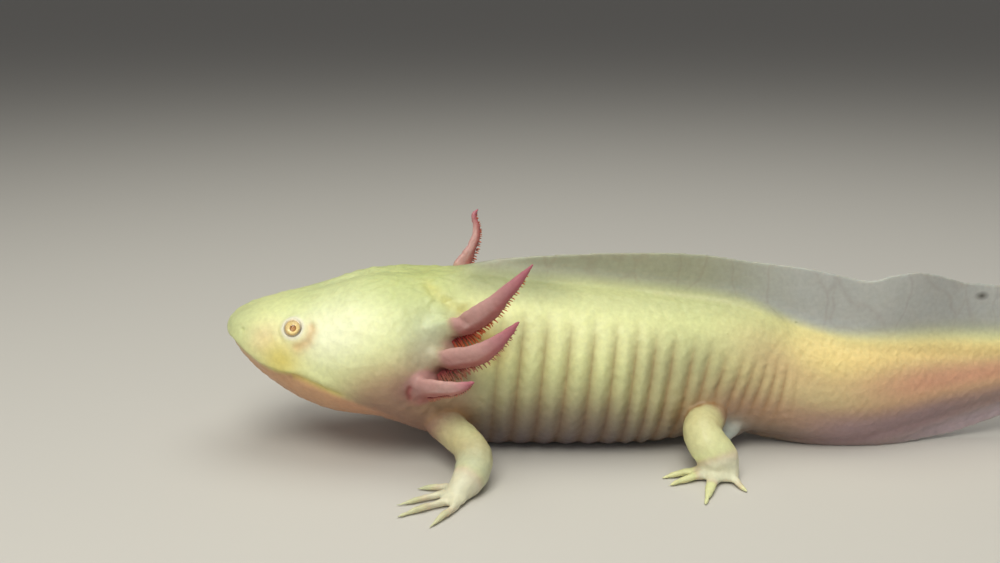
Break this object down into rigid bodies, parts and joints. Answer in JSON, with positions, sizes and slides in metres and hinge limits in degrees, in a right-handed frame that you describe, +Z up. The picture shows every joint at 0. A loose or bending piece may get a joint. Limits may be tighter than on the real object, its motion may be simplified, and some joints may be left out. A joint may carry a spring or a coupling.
{
  "type": "axolotl",
  "caption": "Life-size still model of an adult pale golden axolotl lying at rest, with feathery outside gills, a long back and tail fin, and short splayed legs.",
  "frame": {"origin": "middle of the bounding box at floor level, under the belly", "axes": "+X towards the tip of the tail, +Y towards the animal's right side, +Z up"},
  "size_m": [0.2354, 0.0976, 0.0547],
  "materials": {
    "head_skin": "moist, smooth, unpigmented skin, pale lemon cream",
    "trunk_skin": "moist, finely creased skin, cream yellow with a greyish mauve underside",
    "tail_skin": "moist skin over muscle, golden band shading to pinkish orange",
    "limb_skin": "moist, thin skin, pale yellow with pink at wrist and ankle",
    "fin": "thin, smooth, see-through membrane, greyish",
    "gill": "soft, moist, blood-filled tissue, dusty pink with dark red filaments",
    "eye": "wet, clear cornea over a pale gold iris and an orange-brown pupil"
  },
  "bodies": {
    "root": {"head": "head_skin", "torso": "trunk_skin", "tail_base": "tail_skin", "tail_tip": "tail_skin", "fin_back": "fin", "fin_tail_top": "fin", "fin_tail_bottom": "fin", "eye_left": "eye", "gill_left_bottom": "gill", "gill_left_middle": "gill", "gill_left_top": "gill", "upper_arm_left": "limb_skin", "forearm_left": "limb_skin", "hand_left": "limb_skin", "thigh_left": "limb_skin", "shank_left": "limb_skin", "foot_left": "limb_skin", "eye_right": "eye", "gill_right_bottom": "gill", "gill_right_middle": "gill", "gill_right_top": "gill", "upper_arm_right": "limb_skin", "forearm_right": "limb_skin", "hand_right": "limb_skin", "thigh_right": "limb_skin", "shank_right": "limb_skin", "foot_right": "limb_skin"}
  },
  "joints": []
}
